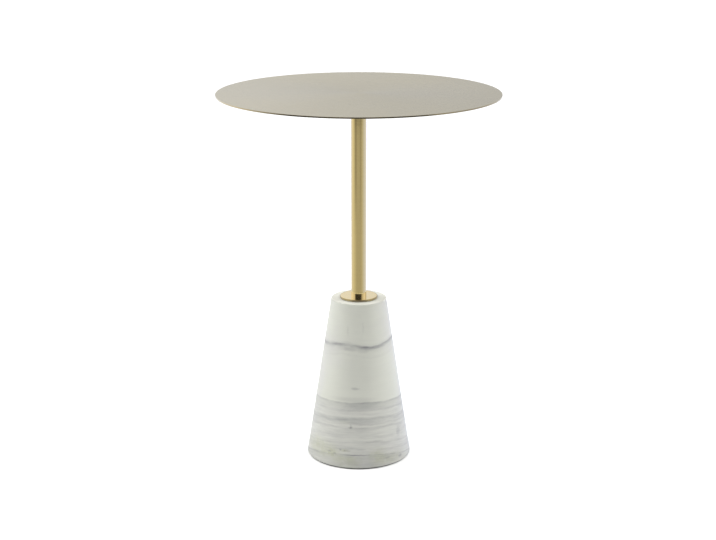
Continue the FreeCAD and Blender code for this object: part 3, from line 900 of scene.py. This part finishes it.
class SIDE_TABLE_OT_collar(bpy.types.Operator):
    """Make the collar and the gasket under it"""
    bl_idname = "side_table.collar"
    bl_label = "Collar"

    def execute(self, context):
        sizes = context.scene.table_sizes
        low, high = levels("collar")
        outside = reach("collar")
        hole = sizes.collar_hole
        seat = reach("post_tube")
        ledge = high - sizes.collar_seat
        bm = turned([(hole, low, 0), (outside, low, 0), (outside, high, sizes.collar_easing),
                     (seat, high, 0), (seat, ledge, 0), (hole, ledge, 0)])
        finish_piece("foot_collar", bm, "polished_brass", "collar")
        finish_copy("gasket", "soft_rubber", "collar_gasket")
        return {"FINISHED"}


class SIDE_TABLE_OT_stone(bpy.types.Operator):
    """Make the marble cone"""
    bl_idname = "side_table.stone"
    bl_label = "Stone Cone"

    def execute(self, context):
        sizes = context.scene.table_sizes
        ceiling = STONE_FOOT + sizes.recess_depth
        bm = turned([
            (sizes.recess_radius, STONE_FOOT, 0),
            (reach("marble_cone"), STONE_FOOT, sizes.stone_easing),
            (sizes.stone_top_radius, STONE_TOP, sizes.stone_easing),
            (sizes.stone_bore_radius, STONE_TOP, 0),
            (sizes.stone_bore_radius, ceiling, 0),
            (sizes.recess_radius, ceiling, 0)])
        finish_piece("stone_cone", bm, "marble", "marble_cone")
        return {"FINISHED"}


class SIDE_TABLE_OT_foot_pad(bpy.types.Operator):
    """Make the felt ring under the stone"""
    bl_idname = "side_table.foot_pad"
    bl_label = "Foot Pad"

    def execute(self, context):
        sizes = context.scene.table_sizes
        low, high = levels("foot_pad")
        outside = reach("foot_pad")
        ease = sizes.pad_easing
        bm = turned([(sizes.pad_hole, low, ease), (outside, low, ease), (outside, high, ease),
                     (sizes.pad_hole, high, ease)])
        finish_piece("felt_ring", bm, "felt", "foot_pad")
        return {"FINISHED"}


class SIDE_TABLE_OT_tie_rod(bpy.types.Operator):
    """Make the tie rod with its thread"""
    bl_idname = "side_table.tie_rod"
    bl_label = "Tie Rod"

    def execute(self, context):
        sizes = context.scene.table_sizes
        low, high = levels("tie_rod")
        crest = reach("tie_rod")
        tip = sizes.thread_depth
        root = crest - tip
        bm = bmesh.new()
        wind_thread(bm, root, crest, low, high)
        for level, side in ((low + tip, -1), (high - tip, 1)):
            end_thread(bm, level, side, root, tip)
        bmesh.ops.recalc_face_normals(bm, faces=bm.faces)
        finish_piece("threaded_rod", bm, "zinc_steel", "tie_rod")
        return {"FINISHED"}


class SIDE_TABLE_OT_clamp(bpy.types.Operator):
    """Make the washers and the nut under the stone"""
    bl_idname = "side_table.clamp"
    bl_label = "Clamp Under the Stone"

    def execute(self, context):
        finish_copy("soft_washer", "soft_rubber", "rubber_washer")
        for name in ("clamp_washer", "tie_rod_spring_washer", "tie_rod_nut"):
            finish_copy("zinc_" + name, "zinc_steel", name)
        return {"FINISHED"}


# Stage

FLOOR_RADIUS = 14.0
FLOOR_SIDES = 64
PAPER_TONES = ((0.86, 0.86, 0.86), (0.90, 0.90, 0.90))
CARD_LIFT = 0.0004
SENSOR_WIDTH = 36.0
OVERHEAD_SPREAD = math.radians(40)
PANEL_PLACE = (1.35, 0.35, 1.75)
PANEL_AIM = (0, 0, 0.25)
PANEL_SIZE = (1.2, 1.4)

# Where the light of the studio changes, as parts of a direction: from front to back, and to its dome
LIGHT_DEPTH = (-0.36, 0.3)
LIGHT_DOME = (0.40, 0.70)
# The same for what the brass shows: from left to right, near the floor, and to its dome
SHOWN_WIDTH = (-0.20, 0.20)
SHOWN_SIDES = (1.18, 0.82)
SHOWN_LOW = (0.21, 0.29)
SHOWN_LOW_SHARE = 0.67
SHOWN_DOME = (0.45, 0.75)


def pale_floor_material():
    """Plain pale paper."""
    material, tree, shader, place = new_material("Pale Floor", Roughness=0.9, Specular_IOR_Level=0.0)
    fibre = noise(tree, place, 60.0, detail=4.0)
    feed(tree, shader.inputs["Base Color"], blend(tree, fibre, *PAPER_TONES))
    return material


def add_to_stage(name, bm, material):
    """Make an object of the stage."""
    made = new_object(name, bm, material)
    return made


def wide_disc(height):
    """A level disc that reaches past the edges of the picture."""
    bm = bmesh.new()
    bmesh.ops.create_circle(bm, cap_ends=True, segments=FLOOR_SIDES, radius=FLOOR_RADIUS)
    bmesh.ops.translate(bm, verts=bm.verts, vec=(0, 0, height))
    return bm


def show_to_brass_only(card):
    """Leave a card to reflections."""
    card.visible_camera = False
    card.visible_diffuse = False
    card.visible_shadow = False
    card.visible_transmission = False


# What the polished brass shows of the floor: degrees round from the front, and brightness. Near the
# table it is bright at the sides and dim towards the camera
NEAR_FLOOR = [(-180, 0.85), (-95, 0.75), (-30, 0.45), (30, 0.45), (95, 0.75), (180, 0.85)]
# Farther out the card is darker on each side of the camera, a painted reflection of dark flags
FLAGGED_FLOOR = [
    (-180, 0.85), (-95, 0.80), (-65, 0.55), (-48, 0.30), (-20, 0.45), (10, 0.45), (27, 0.35),
    (45, 0.50), (95, 0.75), (180, 0.85),
]
# Farthest out, where the rim of the top shows it, it is dark round the camera
FAR_FLOOR = [(-180, 1.0), (-105, 1.0), (-55, 0.0), (50, 0.0), (65, 0.45), (90, 0.45), (180, 1.0)]
# Distances from the table's axis between which the flags and the dark part begin
FLAGS_BEGIN = (1.25, 2.0)
DARK_BEGINS = (2.85, 3.15)
# Where the floor is lit by cooler light, in the same terms, the distances at which that fades out,
# and its tint
COOL_SIDES = [(-180, 0.0), (-125, 0.4), (-85, 0.0), (45, 0.0), (85, 1.0), (140, 1.0), (180, 0.0)]
COOL_REACH = (2.85, 3.1)
COOL_TINT = (0.91, 1.0, 1.5)
# What the collar shows, by way of the post, of the canopy in front, in the same terms. Then how far
# the canopy reaches out from the edge of the top, how far below it, and its steps
CANOPY = [(-125, 1.2), (-65, 0.8), (-48, 0.05), (30, 0.05), (57, 0.7), (95, 1.1), (125, 0.7)]
CANOPY_REACH = (0.006, 3.3)
CANOPY_GAP = 0.001
CANOPY_STEPS = 60


def level_ramp(tree, share, stops, tint=(1, 1, 1)):
    """A brightness that changes with the direction round the table."""
    ramp = node(tree, "ShaderNodeValToRGB", Fac=share)
    elements = ramp.color_ramp.elements
    for degrees, level in stops:
        elements.new((degrees + 180) / 360).color = (*(level * part for part in tint), 1)
    elements.remove(elements[0])
    elements.remove(elements[-1])
    return ramp.outputs["Color"]


def glowing_material(name):
    """A material that only glows, with the share of a turn round the table that a point stands at."""
    material, tree, shader, place = new_material(
        name, Base_Color=(0, 0, 0, 1), Specular_IOR_Level=0.0, Emission_Strength=1.0)
    parts = split(tree, place)
    turn = calc(tree, "ARCTAN2", parts["X"], calc(tree, "MULTIPLY", parts["Y"], -1.0))
    return material, tree, shader, place, remap(tree, turn, -math.pi, math.pi)


def add_canopy():
    """A level card round the front of the top, which the collar shows only by way of the post."""
    material, tree, shader, _, share = glowing_material("Canopy")
    tree.links.new(level_ramp(tree, share, CANOPY, COOL_TINT), shader.inputs["Emission Color"])
    path = tree.nodes.new("ShaderNodeLightPath").outputs
    second = calc(tree, "GREATER_THAN", path["Glossy Depth"], 1.5)
    facing = tree.nodes.new("ShaderNodeNewGeometry").outputs
    feed(tree, shader.inputs["Alpha"], calc(tree, "MULTIPLY", second, facing["Backfacing"]))
    first, last = math.radians(CANOPY[0][0]), math.radians(CANOPY[-1][0])
    height = levels("table_top")[0] - CANOPY_GAP
    bm = bmesh.new()
    ends = []
    for reached in CANOPY_REACH:
        radius = reach("table_top") + reached
        ends.append(bm.verts.new((radius * math.sin(first), -radius * math.cos(first), height)))
    edge = bm.edges.new(ends)
    bmesh.ops.spin(bm, geom=ends + [edge], cent=(0, 0, 0), axis=(0, 0, 1), angle=last - first,
                   steps=CANOPY_STEPS)
    bm.normal_update()
    bmesh.ops.reverse_faces(bm, faces=[face for face in bm.faces if face.normal.z < 0])
    show_to_brass_only(add_to_stage("canopy", bm, material))


def add_reflected_floor():
    """The floor as the polished brass shows it: dimmer towards the camera than at the sides."""
    material, tree, shader, place, share = glowing_material("Reflected Floor")
    away = length(tree, place)
    level = level_ramp(tree, share, NEAR_FLOOR)
    for begins, stops in ((FLAGS_BEGIN, FLAGGED_FLOOR), (DARK_BEGINS, FAR_FLOOR)):
        level = blend(tree, fade(tree, away, *begins), level, level_ramp(tree, share, stops))
    near = fade(tree, away, *COOL_REACH, 1.0, 0.0)
    cool = calc(tree, "MULTIPLY", level_ramp(tree, share, COOL_SIDES), near)
    level = blend(tree, cool, level, vector_calc(tree, "MULTIPLY", level, COOL_TINT))
    tree.links.new(level, shader.inputs["Emission Color"])
    show_to_brass_only(add_to_stage("reflected_floor", wide_disc(CARD_LIFT), material))


def add_surround(studio):
    """A soft studio, dark behind the camera, with a brightness of its own in what the brass shows."""
    world = bpy.data.worlds.new("surround")
    world.use_nodes = True
    tree = world.node_tree
    direction = tree.nodes.new("ShaderNodeTexCoord").outputs["Generated"]
    parts = split(tree, direction)
    light = fade(tree, parts["Y"], *LIGHT_DEPTH, studio.surround_front, studio.surround_back)
    dome = fade(tree, parts["Z"], *LIGHT_DOME)
    light = between(tree, dome, light, studio.surround_top)

    shown = fade(tree, parts["X"], *SHOWN_WIDTH, *SHOWN_SIDES)
    shown = calc(tree, "MULTIPLY", shown, studio.shown_round)
    low = fade(tree, parts["Z"], *SHOWN_LOW, SHOWN_LOW_SHARE, 1.0)
    shown = calc(tree, "MULTIPLY", shown, low)
    dome = fade(tree, parts["Z"], *SHOWN_DOME)
    shown = between(tree, dome, shown, studio.shown_top)

    path = tree.nodes.new("ShaderNodeLightPath").outputs
    level = between(tree, path["Is Glossy Ray"], light, shown)
    level = calc(tree, "MAXIMUM", level, path["Is Camera Ray"])
    backdrop = tree.nodes["Background"]
    backdrop.inputs["Color"].default_value = (1, 1, 1, 1)
    tree.links.new(level, backdrop.inputs["Strength"])
    bpy.context.scene.world = world


def add_light(name, kind, place, target, **settings):
    """A light that points at a target and that the brass doesn't show."""
    data = bpy.data.lights.new(name, kind)
    for key, value in settings.items():
        setattr(data, key, value)
    light = bpy.data.objects.new(name, data)
    light.visible_glossy = False
    light.location = place
    light.rotation_euler = (Vector(target) - Vector(place)).to_track_quat("-Z", "Y").to_euler()
    bpy.context.scene.collection.objects.link(light)


def add_camera(studio):
    """The camera, in front of the table and tilted down."""
    data = bpy.data.cameras.new("camera")
    data.lens = studio.camera_lens
    data.sensor_width = SENSOR_WIDTH
    data.shift_x = studio.camera_shift
    camera = bpy.data.objects.new("camera", data)
    camera.location = (0, -studio.camera_distance, studio.camera_height)
    camera.rotation_euler = (math.radians(90) - studio.camera_pitch, 0, 0)
    bpy.context.scene.collection.objects.link(camera)
    bpy.context.scene.camera = camera


class SIDE_TABLE_OT_studio(bpy.types.Operator):
    """Set up the floor, the light and the camera"""
    bl_idname = "side_table.studio"
    bl_label = "Studio"

    def execute(self, context):
        studio = context.scene.studio_settings
        floor = add_to_stage("floor", wide_disc(0), pale_floor_material())
        floor.visible_glossy = False
        add_reflected_floor()
        add_canopy()
        add_surround(studio)
        add_light("overhead", "SUN", (0, 0, 3), (0, 0, 0), energy=studio.overhead,
                  angle=OVERHEAD_SPREAD)
        x, y, z = PANEL_PLACE
        panels = (("left_panel", -x, studio.left_power), ("right_panel", x, studio.right_power))
        for name, sideways, power in panels:
            add_light(name, "AREA", (sideways, y, z), PANEL_AIM, energy=power, shape="RECTANGLE",
                      size=PANEL_SIZE[0], size_y=PANEL_SIZE[1])
        add_camera(studio)
        context.scene.view_settings.view_transform = "Standard"
        return {"FINISHED"}


# Registration

OPERATORS = [
    SIDE_TABLE_OT_top,
    SIDE_TABLE_OT_plates,
    SIDE_TABLE_OT_screws,
    SIDE_TABLE_OT_post,
    SIDE_TABLE_OT_collar,
    SIDE_TABLE_OT_stone,
    SIDE_TABLE_OT_foot_pad,
    SIDE_TABLE_OT_tie_rod,
    SIDE_TABLE_OT_clamp,
    SIDE_TABLE_OT_studio,
]
PROPERTY_GROUPS = {
    "table_sizes": TableSizes,
    "table_finishes": TableFinishes,
    "studio_settings": StudioSettings,
}


class SIDE_TABLE_PT_panel(bpy.types.Panel):
    """List the settings and the pieces of the table"""
    bl_idname = "SIDE_TABLE_PT_panel"
    bl_label = "Side Table"
    bl_space_type = "VIEW_3D"
    bl_region_type = "UI"
    bl_category = "Side Table"

    def draw(self, context):
        for name, group in PROPERTY_GROUPS.items():
            box = self.layout.box()
            for key in group.__annotations__:
                box.prop(getattr(context.scene, name), key)
        for operator in OPERATORS:
            self.layout.operator(operator.bl_idname)


def register():
    """Add the settings, the operators and the panel."""
    for name, group in PROPERTY_GROUPS.items():
        bpy.utils.register_class(group)
        setattr(bpy.types.Scene, name, PointerProperty(type=group))
    for operator in OPERATORS:
        bpy.utils.register_class(operator)
    bpy.utils.register_class(SIDE_TABLE_PT_panel)


def unregister():
    """Remove the panel, the operators and the settings."""
    bpy.utils.unregister_class(SIDE_TABLE_PT_panel)
    for operator in reversed(OPERATORS):
        bpy.utils.unregister_class(operator)
    for name, group in PROPERTY_GROUPS.items():
        delattr(bpy.types.Scene, name)
        bpy.utils.unregister_class(group)


def main():
    """Make the table and its studio."""
    register()
    for operator in OPERATORS:
        getattr(bpy.ops.side_table, operator.bl_idname.split(".")[1])()


if __name__ == "__main__":
    main()
